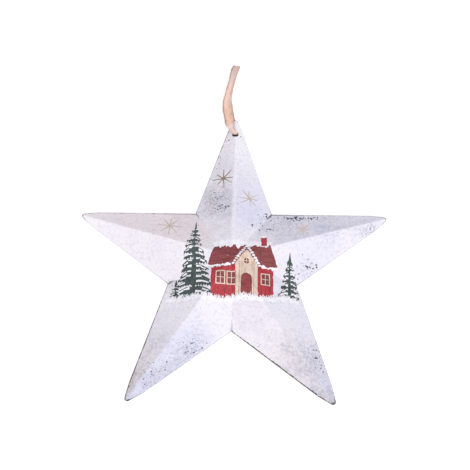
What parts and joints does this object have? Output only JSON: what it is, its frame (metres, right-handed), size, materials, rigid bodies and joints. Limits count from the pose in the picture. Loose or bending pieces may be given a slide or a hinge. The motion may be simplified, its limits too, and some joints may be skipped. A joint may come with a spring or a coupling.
{
  "type": "star ornament",
  "caption": "Folded tin star with raised ridges, rolled rims and an open back, and a satin ribbon loop through a hole near its top point.",
  "frame": {"origin": "centre of the star's outline box, on the table that its rims rest on", "axes": "+Z out of the star's raised front, +Y towards its top point and the hanging hole, +X towards its right point seen from the front"},
  "size_m": [0.203, 0.2384, 0.0198],
  "materials": {
    "painted_tin": "chalky off-white paint with a faint lavender cast, worn to brown along the rims",
    "satin_ribbon": "peach satin ribbon, 6.35 mm wide"
  },
  "bodies": {
    "star": {"top_arm": "painted_tin", "left_arm": "painted_tin", "lower_left_arm": "painted_tin", "lower_right_arm": "painted_tin", "right_arm": "painted_tin"},
    "ribbon": {"ribbon_loop": "satin_ribbon"}
  },
  "joints": [
    {"name": "ribbon_swing", "type": "hinge", "parent": "star", "child": "ribbon", "pos_m": [0, 0.08461, 0.0037], "axis": [0, 0, 1], "range_deg": [-75, 75]}
  ]
}
